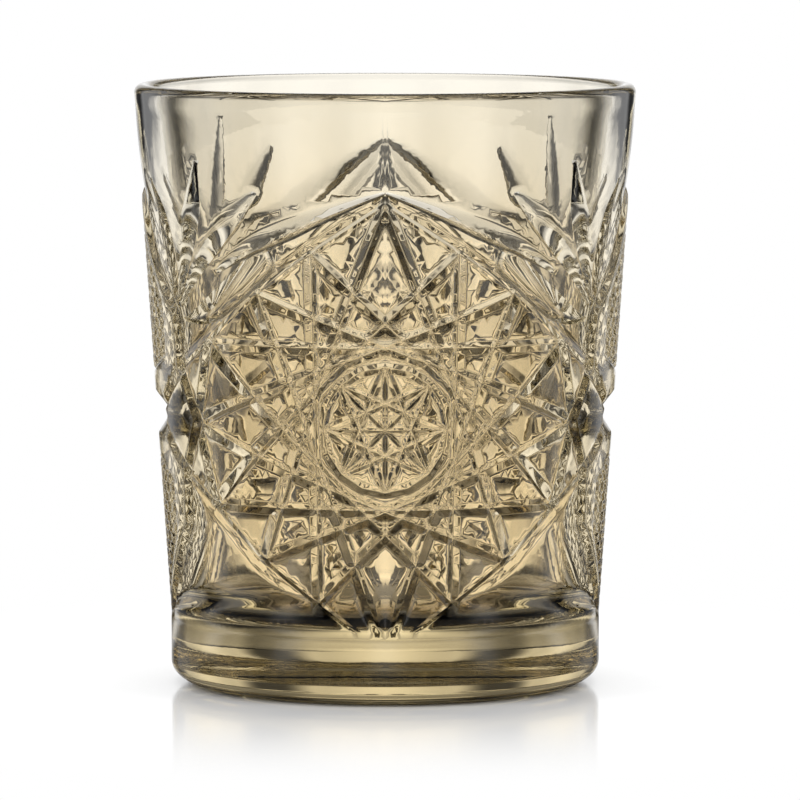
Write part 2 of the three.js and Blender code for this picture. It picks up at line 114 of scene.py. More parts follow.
# Fans: middle lines of the flutes from the root to the tip, with half-widths at even steps along them
FLUTES = [
    ([(43.6, 21), (45.2, 30), (50.4, 40.6)], [0.3, 1.2, 1.9, 1.8, 0.4]),
    ([(42.6, 20.5), (38.6, 31), (34.4, 44.5)], [0.3, 1.3, 2.2, 2.2, 0.5]),
    ([(41.4, 20), (32.0, 30.8), (22.3, 40)], [0.3, 1.1, 2.2, 2.3, 0.6]),
    ([(31.0, 26.4), (18.6, 33.2), (0.3, 40.3)], [0.5, 1.3, 2.0, 2.1, 1.3, 0.4]),
]
HOOK_FLUTE = ([(40.2, 17.6), (31.2, 20.6), (21.5, 28)], [0.4, 1.7, 2.6, 2.7, 2.7])
FLUTE_STEPS = 20
FLUTE_DEPTH = 1.7
HOOK_DEPTH = 1.6

# Ground round the motifs: sunk under the raised rhombus and kites, rising to the plain band under the lip
GROUND_DEPTH = 0.8
GROUND_RISE = (85, 99.5)
PANEL_START_HEIGHT = 13.2
PANEL_DEPTH = 1.0
PANEL_BEVEL = 3.6

# Fineness of the mesh
RING_COUNT = 256
LINE_SPACING = 1.7
PLAIN_SPACING = 1.45
PLAIN_CLEARANCE = 0.4
MERGE_DISTANCE = 0.02
BEVEL_ROWS = (0, 0.25, 0.5, 0.75, 1)
HOLLOW_ROWS = 5
FOOT_EDGE_ROWS = 18
FOOT_SIDE_ROWS = 4
SHOULDER_ROWS = 6
LIP_ROWS = 16
CAVITY_ROWS = 25
FILLET_ROWS = 10
FLOOR_ROWS = 5
SHARP_ANGLE = 40

# Softness of pressed grooves, in half-widths, and how closely crossing grooves keep their own depths
VEE_BOTTOM = 0.1
VEE_SHOULDER = 0.12
CROSSING_POWER = 8

# Flutes: where across one its lowest line is, and how slowly it sinks towards that line
SWEEP_LOWEST = 0.35
SWEEP_POWER = 1.6

RIPPLE = 0.008
RIPPLE_LENGTH = 11

# Glass colour: light left after both faces of a wall, and what the depth of the glass takes per metre
DEEP_TINT = (0.97, 0.86, 0.655, 1)
# The pale tint, taken on between the two heights below it (in metres), is partly painted light: the glass is
# made lighter towards the lip to stand in for the brightness of the plain band there. The deep tint is the
# glass's own colour.
PAINTED_PALE_TINT = (0.962, 0.922, 0.83, 1)
PAINTED_PALE_FROM = 0.06
PAINTED_PALE_AT = 0.108
ABSORPTION = 13.0
ABSORPTION_COLOUR = (0.7, 0.6, 0.25, 1)

# Glass surface: clouds in tint and polish, and a fine grain
GLASS_IOR = 1.51
CLOUD_SCALE = 70.0
CLOUD_RISE = 0.012
GLASS_ROUGHNESS = 0.012
GRAIN_SCALE = 420.0
GRAIN_STRENGTH = 0.015
GRAIN_HEIGHT = 0.0005

# Table surface
TABLE_RADIUS = 0.6
TABLE_CORNERS = 96
TABLE_IOR = 1.45
TABLE_ROUGHNESS = (0.1, 0.16)
TABLE_HAZE_SCALE = 35.0

# Camera and lamps
CAMERA_LENS = 322.5
CAMERA_PLACE = (0, -1.25, 0.15937)
CAMERA_TURN = (90 - 5.023, 0, -0.119)
LAMP_AIM = (0, 0, 0.05)
LAMP_POWER = 2.5
LAMPS = {
    "lamp_left": ((-0.75, -0.35, 0.55), (0.35, 0.7)),
    "lamp_right": ((0.75, -0.35, 0.55), (0.35, 0.7)),
    "lamp_top": ((0, 0.25, 0.95), (0.8, 0.8)),
}

# Studio: edges of the backdrops as a wave round the horizon, heights as the upward part of a direction
BACKDROP_COUNT = 8
BACKDROP_EDGE = (-0.95, -0.2)
BACKDROP_MIDDLE = 1.12
BACKDROP_SIDE = 0.8
BACKDROP_FALL = 2
BACKDROP_TOP = (0.42, 0.62)
GAP_LEVEL = 0.08
SIDE_FROM = (0.55, 0.8)
SIDE_LEVEL = 0.6
OVERHEAD = (0.75, 0.92)
OVERHEAD_LEVEL = 0.1
SHEEN_FROM = (-0.5, 0.2)
SHEEN_LEVELS = (0.25, 1.0)
AMBIENT_LEVEL = 1.0
WHITE_FROM = 0.045
WHITE_AT = 0.13
# The table as seen from the glass: levels and radii of its painted shadow near the glass and its painted glow
# further off, and the glow's dim level at the sides.
FLOOR_PAINTED_SHADOW_AND_GLOW = (0.16, 1.2, 0.95)
FLOOR_PAINTED_SHADOW_AND_GLOW_RADII = (0.05, 0.085, 0.2)
FLOOR_PAINTED_GLOW_SIDE = 0.14
FLOOR_PAINTED_GLOW_SIDE_FADE = (0.18, 0.45)
FLOOR_COLOUR = (0.95, 0.95, 0.95, 1)
# Dark base colour of the table as seen from the glass: painted shade.
FLOOR_PAINTED_SHADE_COLOUR = (0.2, 0.2, 0.2, 1)

WALL_TAPER = (RIM_RADIUS - WALL_START_RADIUS) / (LIP_HEIGHT - WALL_START_HEIGHT)


def wall_radius(height):
    """Radius of the plain outer wall at a height."""
    return WALL_START_RADIUS + WALL_TAPER * (height - WALL_START_HEIGHT)


QUARTER = wall_radius(CENTRE_HEIGHT) * math.pi / 2


def smooth_step(low, high, value):
    """0 below low, 1 above high, and an even curve between them."""
    share = np.clip((value - low) / (high - low), 0, 1)
    return share * share * (3 - 2 * share)


# Cross sections of grooves: share of the depth at a distance of so many half-widths from the middle.
def vee(away):
    """Two flat sides with a slightly rounded bottom and soft shoulders."""
    rise = (np.sqrt(away**2 + VEE_BOTTOM**2) - VEE_BOTTOM) / (math.sqrt(1 + VEE_BOTTOM**2) - VEE_BOTTOM)
    level = 1 - rise
    soft = (level + VEE_SHOULDER) ** 2 / (4 * VEE_SHOULDER)
    return np.where(level > VEE_SHOULDER, level, np.where(level < -VEE_SHOULDER, 0, soft))


def scoop(away):
    """A round hollow with a crisp edge."""
    return np.clip(1 - away**2, 0, None)


def sweep(away):
    """A hollow that sinks slowly from its right edge and ends in a steep bank on its left."""
    slow = np.clip((1 + away) / (1 + SWEEP_LOWEST), 0, 1) ** SWEEP_POWER
    bank = 1 - (np.clip(away - SWEEP_LOWEST, 0, None) / (1 - SWEEP_LOWEST)) ** 2
    return np.where(np.abs(away) >= 1, 0, np.where(away < SWEEP_LOWEST, slow, bank))


# Lines that a cross section needs in the mesh, in half-widths from its middle, to the left and to the right
SECTION_LINES = {
    vee: (0, 0.13, -0.13, 0.86, -0.86, 1.14, -1.14),
    scoop: (0, 0.3, -0.3, 0.58, -0.58, 0.82, -0.82, 1, -1),
    sweep: (-1, -0.7, -0.4, -0.1, 0.15, SWEEP_LOWEST, 0.6, 0.8, 1),
}


def across_path(path):
    """Directions square to a path at its points, longer at corners so that an offset path stays parallel."""
    runs = np.diff(path, axis=0)
    runs /= np.hypot(*runs.T)[:, None]
    closed = np.allclose(path[0], path[-1])
    before = np.vstack([runs[-1] if closed else runs[0], runs])
    after = np.vstack([runs, runs[0] if closed else runs[-1]])
    square = np.column_stack([-(before + after)[:, 1], (before + after)[:, 0]]) / 2
    return square / np.maximum((square**2).sum(1), 0.2)[:, None]


class Groove:
    """A groove along a path of the flat map: a half-width at each point, and the depth where it is widest."""

    def __init__(self, path, half_width, depth, shape=vee):
        self.path = np.array(path, float)
        self.half_width = np.broadcast_to(np.asarray(half_width, float), len(self.path))
        self.depth = depth
        self.shape = shape

    def turned(self, flip, base):
        """The same groove, mirrored in a line across the map (flip) or up it."""
        path = self.path.copy()
        axis = 1 if flip else 0
        path[:, axis] = 2 * base - path[:, axis]
        return Groove(path, self.half_width, self.depth, self.shape)

    def cut(self, places):
        """How deep the groove is at each place."""
        deepest = np.zeros(len(places))
        for leg in range(len(self.path) - 1):
            start, run = self.path[leg], self.path[leg + 1] - self.path[leg]
            share = np.clip((places - start) @ run / (run @ run), 0, 1)
            off = places - start - share[:, None] * run
            gap = np.copysign(np.hypot(*off.T), run[0] * off[:, 1] - run[1] * off[:, 0])
            half_width = self.half_width[leg] + share * (self.half_width[leg + 1] - self.half_width[leg])
            depth = self.depth * np.sqrt(half_width / self.half_width.max())
            deepest = np.maximum(deepest, depth * self.shape(gap / half_width))
        return deepest

    def lines(self):
        """Paths along the groove's middle, edges and rows between, with arcs round the end of a hollow."""
        square = across_path(self.path)
        paths = []
        for offset in SECTION_LINES[self.shape]:
            paths.append(self.path + offset * self.half_width[:, None] * square)
        if self.shape is scoop:
            ahead = math.atan2(*(self.path[-1] - self.path[-2])[::-1])
            turns = ahead + np.radians(np.linspace(-90, 90, 9))
            for offset in SECTION_LINES[scoop][1::2]:
                reach = offset * self.half_width[-1]
                paths.append(self.path[-1] + reach * np.column_stack([np.cos(turns), np.sin(turns)]))
        return paths


def from_centre(across, up):
    """A place on the map from its distance across and above the pattern's middle."""
    return (across, CENTRE_HEIGHT + up)


def round_centre(count, reach):
    """Places at equal turns round the pattern's middle, the first one upright."""
    angles = [2 * math.pi * index / count for index in range(count)]
    return [from_centre(reach(i) * math.sin(a), reach(i) * math.cos(a)) for i, a in enumerate(angles)]


def star_reach(index):
    """Reach of a star's tip: upright, level and between, the same in all four quarters."""
    quarter = STAR_TIP_COUNT // 4
    turn = index % (2 * quarter)
    return STAR_REACHES[turn if turn <= quarter else 2 * quarter - turn]


TIPS = round_centre(STAR_TIP_COUNT, star_reach)
KITE_APEX = (QUARTER, KITE_APEX_REACH)


def meeting(start, run, other, other_run):
    """Where two straight lines meet, as shares of their runs, or None where they are parallel."""
    turn = run[0] * other_run[1] - run[1] * other_run[0]
    if abs(turn) < 1e-6:
        return None
    gap = other - start
    return (
        (gap[0] * other_run[1] - gap[1] * other_run[0]) / turn,
        (gap[0] * run[1] - gap[1] * run[0]) / turn,
    )


def star_grooves():
    """The big star, the ring of its button, and the small star with spokes inside the ring."""
    grooves = []
    for index, tip in enumerate(TIPS):
        far = TIPS[(index + STAR_STEPS) % STAR_TIP_COUNT]
        grooves.append(Groove([tip, far], STAR_HALF_WIDTH, STAR_DEPTH))
    ring = round_centre(STAR_TIP_COUNT, lambda index: BUTTON_RADIUS)
    grooves.append(Groove([*ring, ring[0]], BUTTON_RING_HALF_WIDTH, BUTTON_RING_DEPTH))
    tips = ring[::2]
    for index, tip in enumerate(tips):
        far = tips[(index + BUTTON_STAR_STEPS) % len(tips)]
        grooves.append(Groove([tip, far], BUTTON_HALF_WIDTH, BUTTON_DEPTH))
    for index in range(len(tips) // 2):
        grooves.append(Groove([tips[index], tips[index + len(tips) // 2]], SPOKE_HALF_WIDTH, SPOKE_DEPTH))
    return grooves


QUARTER_TIPS = STAR_TIP_COUNT // 4
CORNER = from_centre(*RHOMBUS_CORNER)
SHOULDER = from_centre(*KITE_SHOULDER)
APEX = from_centre(*KITE_APEX)


def below(places):
    """Places mirrored to the other side of the pattern's middle height."""
    return [(across, 2 * CENTRE_HEIGHT - up) for across, up in places]


def border_grooves():
    """Lines from the rhombus to the star's side tips, the kites' borders and the waist."""
    upper = [
        Groove([CORNER, TIPS[QUARTER_TIPS], TIPS[QUARTER_TIPS + 1]], STAR_HALF_WIDTH, STAR_DEPTH),
        Groove([CORNER, SHOULDER, APEX], KITE_HALF_WIDTH, KITE_DEPTH),
        Groove([*TIPS[:QUARTER_TIPS], CORNER], BORDER_HALF_WIDTH, BORDER_DEPTH),
    ]
    lower = [groove.turned(True, CENTRE_HEIGHT) for groove in upper]
    waist = from_centre(WAIST_START_ACROSS, 0)
    arms = [Groove(path, STAR_HALF_WIDTH, STAR_DEPTH) for path in ([CORNER, waist], below([CORNER, waist]))]
    side = Groove([waist, from_centre(2 * QUARTER - WAIST_START_ACROSS, 0)], WAIST_HALF_WIDTH, WAIST_DEPTH)
    return [*upper, *lower, *arms, side]


def hatch_grooves():
    """Diagonal lines of the hatched fields, with the outline that they stop at."""
    first = HATCH_FIRST_REACH + HATCH_PITCH
    left, right = QUARTER - HATCH_FIELD_HALF_WIDTH, QUARTER + HATCH_FIELD_HALF_WIDTH
    outline = [
        (QUARTER, HATCH_FIRST_REACH),
        (right, first),
        (right, HATCH_SHOULDER_REACH),
        (QUARTER, HATCH_TOP_REACH),
        (left, HATCH_SHOULDER_REACH),
        (left, first),
    ]
    corners = np.array([*outline, outline[0]], float)
    paths = [corners]
    for lean in (1, -1):
        reach = HATCH_FIRST_REACH - HATCH_FIELD_HALF_WIDTH + HATCH_PITCH / 2
        while reach < HATCH_TOP_REACH + HATCH_FIELD_HALF_WIDTH:
            start, run = np.array([QUARTER, reach]), np.array([1.0, lean])
            shares = []
            for corner, after in zip(corners[:-1], corners[1:]):
                at = meeting(start, run, corner, after - corner)
                if at and 0 <= at[1] <= 1:
                    shares.append(at[0])
            if shares and max(shares) - min(shares) > HATCH_PITCH / 2:
                paths.append([start + run * min(shares), start + run * max(shares)])
            reach += HATCH_PITCH
    upper = [Groove([from_centre(*p) for p in path], HATCH_HALF_WIDTH, HATCH_DEPTH) for path in paths]
    return [*upper, *(groove.turned(True, CENTRE_HEIGHT) for groove in upper)]


def through(first, middle, last, shares):
    """Places on the even curve through three, the middle one half way."""
    shares = shares[:, None]
    first, middle, last = (np.array(place, float) for place in (first, middle, last))
    return (
        first * (1 - shares) * (1 - 2 * shares)
        + middle * 4 * shares * (1 - shares)
        + last * shares * (2 * shares - 1)
    )


def fan_grooves():
    """Pointed flutes with one steep bank, which leave leaves standing between them, and a round-ended one."""
    grooves = []
    shares = np.linspace(0, 1, FLUTE_STEPS)
    kinds = [*((flute, FLUTE_DEPTH, sweep) for flute in FLUTES), (HOOK_FLUTE, HOOK_DEPTH, scoop)]
    for (places, half_widths), depth, shape in kinds:
        path = [from_centre(*place) for place in through(*places, shares)]
        widths = np.interp(shares, np.linspace(0, 1, len(half_widths)), half_widths)
        grooves.append(Groove(path, widths, depth, shape))
    return grooves


def neck_groove():
    """The fine groove between foot and wall."""
    return Groove([(-4, NECK_HEIGHT), (QUARTER + 4, NECK_HEIGHT)], NECK_HALF_WIDTH, NECK_DEPTH)


def panel_outline():
    """Corners of the sunk panel between a rhombus, a lower kite and the neck."""
    shoulder, apex = below([SHOULDER, APEX])
    share = (PANEL_START_HEIGHT - shoulder[1]) / (apex[1] - shoulder[1])
    foot = (shoulder[0] + share * (apex[0] - shoulder[0]), PANEL_START_HEIGHT)
    return np.array([foot, shoulder, *below([CORNER, *TIPS[1:QUARTER_TIPS][::-1]])], float)


def ground_outline():
    """Corners of the ground above rhombus and kite, with a stretch of their mirror copies on both sides."""
    border = [*TIPS[:QUARTER_TIPS], CORNER, SHOULDER, (APEX[0], APEX[1] - KITE_RIM)]
    left = (-border[1][0], border[1][1])
    right = (2 * QUARTER - SHOULDER[0], SHOULDER[1])
    return np.array([left, *border, right, (right[0], 2 * HEIGHT), (left[0], 2 * HEIGHT)], float)


def inside_by(outline, places):
    """How far inside an outline each place is, or 0 outside it."""
    inside = np.zeros(len(places), bool)
    nearest = np.full(len(places), 1e9)
    for start, end in zip(outline, np.roll(outline, -1, axis=0)):
        run = end - start
        share = np.clip((places - start) @ run / (run @ run), 0, 1)
        nearest = np.minimum(nearest, np.hypot(*(places - start - share[:, None] * run).T))
        crosses = (start[1] > places[:, 1]) != (end[1] > places[:, 1])
        if start[1] != end[1]:
            at = start[0] + (places[:, 1] - start[1]) * run[0] / run[1]
            inside ^= crosses & (places[:, 0] < at)
    return np.where(inside, nearest, 0)


STAR = star_grooves()
BORDERS = border_grooves()
HATCHING = hatch_grooves()
FAN = fan_grooves()
NECK = neck_groove()
PANEL = panel_outline()
GROUND = ground_outline()


def relief_depth(places):
    """Depth of the whole relief under the plain wall at each place of the map."""
    low, high = GROUND_RISE
    ground = GROUND_DEPTH * np.clip((high - places[:, 1]) / (high - low), 0, 1) ** 2
    ground *= smooth_step(0, BORDER_BEVEL, inside_by(GROUND, places))
    ground += np.max([flute.cut(places) for flute in FAN], axis=0)
    panel = PANEL_DEPTH * smooth_step(0, PANEL_BEVEL, inside_by(PANEL, places))
    mirrored = [groove.turned(False, QUARTER) for groove in BORDERS]
    cuts = [groove.cut(places) for groove in [*STAR, *BORDERS, *HATCHING, *mirrored]]
    relief = np.sum(np.array([ground, panel, *cuts]) ** CROSSING_POWER, axis=0) ** (1 / CROSSING_POWER)
    start, end = NECK_FADE
    relief *= smooth_step(NECK_HEIGHT + start, NECK_HEIGHT + end, places[:, 1])
    return np.maximum(relief, NECK.cut(places))


def clipped(start, end):
    """The part of a straight run that lies on the quarter map between neck and lip, or None."""
    run = end - start
    first, last = 0.0, 1.0
    for axis, low, high in ((0, 0.0, QUARTER), (1, NECK_HEIGHT, LIP_HEIGHT - 1)):
        if abs(run[axis]) < 1e-9:
            if not low <= start[axis] <= high:
                return None
            continue
        shares = sorted(((low - start[axis]) / run[axis], (high - start[axis]) / run[axis]))
        first, last = max(first, shares[0]), min(last, shares[1])
    return (start + first * run, start + last * run) if last - first > 1e-6 else None


def ruled_lines():
    """Every line that the mesh follows: rows along the grooves and along the bevels of ground and panel."""
    grooves = [*STAR, *BORDERS, *HATCHING, *FAN, NECK]
    lines = [line for groove in grooves for line in groove.lines()]
    border = GROUND[1:-3]
    rim = np.vstack([PANEL, PANEL[:1]])
    for share in BEVEL_ROWS:
        lines.append(border + share * BORDER_BEVEL * across_path(border))
        lines.append(rim + share * PANEL_BEVEL * across_path(rim))
    return lines


def quarter_mesh():
    """Points and triangles of the quarter map, with edges along every ruled line."""
    points, edges = [], []

    def rule(line):
        """Adds a straight line in short runs."""
        start = len(points)
        count = max(1, math.ceil(np.hypot(*(line[1] - line[0])) / LINE_SPACING))
        points.extend(line[0] + (line[1] - line[0]) * step / count for step in range(count + 1))
        edges.extend((start + step, start + step + 1) for step in range(count))

    for height in (WALL_START_HEIGHT, LIP_HEIGHT):
        start = len(points)
        ring = np.linspace(0, QUARTER, RING_COUNT // 4 + 1)
        points.extend(np.array([across, height]) for across in ring)
        edges.extend((start + step, start + step + 1) for step in range(len(ring) - 1))
    for across in (0, QUARTER):
        rule(np.array([(across, WALL_START_HEIGHT), (across, LIP_HEIGHT)], float))
    for line in ruled_lines():
        for start, end in zip(line[:-1], line[1:]):
            part = clipped(start, end)
            if part:
                rule(np.array(part))
    tree = kdtree.KDTree(len(points))
    for index, point in enumerate(points):
        tree.insert((*point, 0), index)
    tree.balance()
    for row, up in enumerate(np.arange(WALL_START_HEIGHT + 0.7, LIP_HEIGHT - 0.5, PLAIN_SPACING * 0.866)):
        for across in np.arange(PLAIN_SPACING * (0.5 if row % 2 else 1), QUARTER - 0.4, PLAIN_SPACING):
            if tree.find((across, up, 0))[2] > PLAIN_CLEARANCE:
                points.append(np.array([across, up]))
    found, _, faces, *_ = delaunay_2d_cdt([Vector(point) for point in points], edges, [], 0, MERGE_DISTANCE)
    places = np.array([(point.x, point.y) for point in found])
    places[np.abs(places[:, 0]) < MERGE_DISTANCE, 0] = 0
    places[np.abs(places[:, 0] - QUARTER) < MERGE_DISTANCE, 0] = QUARTER
    return places, [list(face) for face in faces]


def wrapped(places, depth):
    """Places of the flat map on the wall, in millimetres."""
    radius = wall_radius(places[:, 1]) - depth
    angle = places[:, 0] / QUARTER * math.pi / 2
    return np.column_stack([radius * np.sin(angle), -radius * np.cos(angle), places[:, 1]])


def wall():
    """Points and faces of the whole outer wall: one quarter and its three mirror copies."""
    places, faces = quarter_mesh()
    depth = relief_depth(places)
    at_ring = (places[:, 1] < WALL_START_HEIGHT + 0.01) | (places[:, 1] > LIP_HEIGHT - 0.01)
    depth[at_ring] = 0
    quarter = wrapped(places, depth)
    points, whole = [], []
    for left, back in ((1, 1), (-1, 1), (1, -1), (-1, -1)):
        base = len(points) * len(quarter)
        points.append(quarter * (left, back, 1))
        order = 1 if left * back > 0 else -1
        whole += [[base + corner for corner in face[::order]] for face in faces]
    return np.concatenate(points), whole


def arc(centre, radii, first, last, steps):
    """Points along part of an ellipse, from one angle to another."""
    angles = np.radians(np.linspace(first, last, steps + 1))
    return [(centre[0] + radii[0] * math.cos(a), centre[1] + radii[1] * math.sin(a)) for a in angles]


def foot_profile():
    """Radius and height from the middle of the underside out to the wall."""
    bearing = FOOT_RADIUS - FOOT_EDGE_WIDTH
    inner = bearing - BEARING_WIDTH
    hollow = [(inner * share, UNDERSIDE_HOLLOW * (1 - share**2)) for share in np.linspace(0, 1, HOLLOW_ROWS)]
    edge = arc((bearing, FOOT_WIDEST_HEIGHT), (FOOT_EDGE_WIDTH, FOOT_WIDEST_HEIGHT), -90, 0, FOOT_EDGE_ROWS)
    heights = np.linspace(FOOT_WIDEST_HEIGHT, FOOT_SIDE_HEIGHT, FOOT_SIDE_ROWS)
    side = [(FOOT_RADIUS, height) for height in heights[1:]]
    shoulder = [
        (FOOT_RADIUS - (FOOT_RADIUS - WALL_START_RADIUS) * share**2,
         FOOT_SIDE_HEIGHT + (WALL_START_HEIGHT - FOOT_SIDE_HEIGHT) * share)
        for share in np.linspace(0, 1, SHOULDER_ROWS)[1:]
    ]
    return [*hollow, *edge, *side, *shoulder]


def cavity_profile():
    """Radius and height from the wall over the lip and down to the middle of the cavity's floor.

    The wall grows thicker downwards in an even curve.
    """
    start = FLOOR_HEIGHT + FLOOR_FILLET
    flare = RIM_RADIUS - 2 * LIP_RADIUS - FLOOR_RADIUS
    lip = arc((RIM_RADIUS - LIP_RADIUS, LIP_HEIGHT), (LIP_RADIUS, LIP_RADIUS), 0, 180, LIP_ROWS)
    inside = [
        (FLOOR_RADIUS + flare * share**2, start + (LIP_HEIGHT - start) * share)
        for share in np.linspace(1, 0, CAVITY_ROWS)[1:-1]
    ]
    fillet = arc((FLOOR_RADIUS - FLOOR_FILLET, start), (FLOOR_FILLET, FLOOR_FILLET), 0, -90, FILLET_ROWS)
    floor = [(r, FLOOR_HEIGHT) for r in np.linspace(FLOOR_RADIUS - FLOOR_FILLET, 0, FLOOR_ROWS)[1:]]
    return [*lip, *inside, *fillet, *floor]


def turned(profile):
    """Points and faces of a turned surface."""
    angles = np.arange(RING_COUNT) * 2 * math.pi / RING_COUNT
    points = np.array([
        (radius * math.sin(a), -radius * math.cos(a), height) for radius, height in profile for a in angles
    ])
    faces = []
    for row in range(len(profile) - 1):
        for step in range(RING_COUNT):
            a, b = row * RING_COUNT + step, row * RING_COUNT + (step + 1) % RING_COUNT
            faces.append([a, b, b + RING_COUNT, a + RING_COUNT])
    return points, faces


def joined(surfaces):
    """One set of points and faces from several, with points that meet made one."""
    points = np.concatenate([surface[0] for surface in surfaces])
    _, first, number = np.unique(np.round(points * 2000), axis=0, return_index=True, return_inverse=True)
    faces, base = [], 0
    for surface_points, surface_faces in surfaces:
        for face in surface_faces:
            corners = list(dict.fromkeys(int(number[base + corner]) for corner in face))
            if len(corners) > 2:
                faces.append(corners)
        base += len(surface_points)
    return points[first], faces


def rippled(points):
    """Slow, slight unevenness of pressed glass, along the radius and clear of the standing ring."""
    moved = points.copy()
    for index, (x, y, z) in enumerate(points):
        reach = math.hypot(x, y)
        if z < 1 or reach < 1:
            continue
        swing = noise.noise(Vector((x, y, z)) / RIPPLE_LENGTH) * RIPPLE
        moved[index, :2] *= 1 + swing / reach
    return moved


def new_object(name, points, faces):
    """A smooth-shaded mesh object from points in millimetres."""
    mesh = bpy.data.meshes.new(name)
    mesh.from_pydata((points * MM).tolist(), [], faces)
    mesh.update()
    mesh.shade_smooth()
    mesh.set_sharp_from_angle(angle=math.radians(SHARP_ANGLE))
    piece = bpy.data.objects.new(name, mesh)
    bpy.context.scene.collection.objects.link(piece)
    return piece


def node(tree, kind, **values):
    """A new node with its sockets or settings given by name."""
    made = tree.nodes.new(kind)
    for name, value in values.items():
        label = name.replace("_", " ")
        if label in made.inputs:
            made.inputs[label].default_value = value
        else:
            setattr(made, name, value)
    return made


def math_node(tree, operation, first, second=0.0):
    """The result of a sum whose terms are sockets or numbers."""
    made = node(tree, "ShaderNodeMath", operation=operation)
    for socket, term in zip(made.inputs, (first, second)):
        if isinstance(term, (int, float)):
            socket.default_value = term
        else:
            tree.links.new(term, socket)
    return made.outputs["Value"]


def ramp(tree, value, low, high, start, end):
    """A smooth change from start to end as a value goes from low to high."""
    made = node(tree, "ShaderNodeMapRange", interpolation_type="SMOOTHSTEP", From_Min=low, From_Max=high,
                To_Min=start, To_Max=end)
    tree.links.new(value, made.inputs["Value"])
    return made.outputs["Result"]


def backdrops(tree, across, along, edge):
    """Level of the backdrops round the horizon: brightest in the middle of each, dark between them."""
    turn = math_node(tree, "ARCTAN2", across, along)
    wave = math_node(tree, "COSINE", math_node(tree, "MULTIPLY", turn, BACKDROP_COUNT))
    fall = math_node(tree, "POWER", math_node(tree, "MAXIMUM", wave, 0), BACKDROP_FALL)
    fall = math_node(tree, "MULTIPLY", fall, math_node(tree, "SUBTRACT", BACKDROP_MIDDLE, edge))
    fall = math_node(tree, "ADD", fall, edge)
    return math_node(tree, "MULTIPLY", ramp(tree, wave, *BACKDROP_EDGE, GAP_LEVEL, 1), fall)


def glass_material():
    """Tinted pressed glass: lighter towards the lip and deeper lower down in the relief, the lighter top
    partly painted light for the bright plain band; browner where it is thick.
    """
    material = bpy.data.materials.new("tinted_pressed_glass")
    material.use_nodes = True
    tree = material.node_tree
    tree.nodes.clear()
    link = tree.links.new
    place = node(tree, "ShaderNodeTexCoord").outputs["Object"]
    cloud = node(tree, "ShaderNodeTexNoise", Scale=CLOUD_SCALE, Detail=3.0)
    link(place, cloud.inputs["Vector"])
    height = node(tree, "ShaderNodeSeparateXYZ")
    link(place, height.inputs["Vector"])
    uneven = node(tree, "ShaderNodeMath", operation="MULTIPLY_ADD")
    uneven.inputs[1].default_value = CLOUD_RISE
    link(cloud.outputs["Fac"], uneven.inputs[0])
    link(height.outputs["Z"], uneven.inputs[2])
    # Painted light: higher up the glass the tint turns pale, with a cloudy edge, which lightens the plain
    # band under the lip.
    painted_paler_top = ramp(tree, uneven.outputs["Value"], PAINTED_PALE_FROM, PAINTED_PALE_AT, 0, 1)
    tint = node(tree, "ShaderNodeMix", data_type="RGBA")
    deep, painted_pale = [socket for socket in tint.inputs if socket.type == "RGBA"]
    deep.default_value = DEEP_TINT
    painted_pale.default_value = PAINTED_PALE_TINT
    link(painted_paler_top, tint.inputs["Factor"])
    polish = node(tree, "ShaderNodeMapRange", To_Min=0.0, To_Max=GLASS_ROUGHNESS)
    link(cloud.outputs["Fac"], polish.inputs["Value"])
    grain = node(tree, "ShaderNodeTexNoise", Scale=GRAIN_SCALE, Detail=2.0)
    link(place, grain.inputs["Vector"])
    bump = node(tree, "ShaderNodeBump", Strength=GRAIN_STRENGTH, Distance=GRAIN_HEIGHT)
    link(grain.outputs["Fac"], bump.inputs["Height"])
    surface = node(tree, "ShaderNodeBsdfPrincipled", IOR=GLASS_IOR)
    surface.inputs["Transmission Weight"].default_value = 1.0
    link([socket for socket in tint.outputs if socket.type == "RGBA"][0], surface.inputs["Base Color"])
    link(polish.outputs["Result"], surface.inputs["Roughness"])
    link(bump.outputs["Normal"], surface.inputs["Normal"])
    depth = node(tree, "ShaderNodeVolumeAbsorption", Density=ABSORPTION)
    depth.inputs["Color"].default_value = ABSORPTION_COLOUR
    output = node(tree, "ShaderNodeOutputMaterial")
    link(surface.outputs["BSDF"], output.inputs["Surface"])
    link(depth.outputs["Volume"], output.inputs["Volume"])
    return material


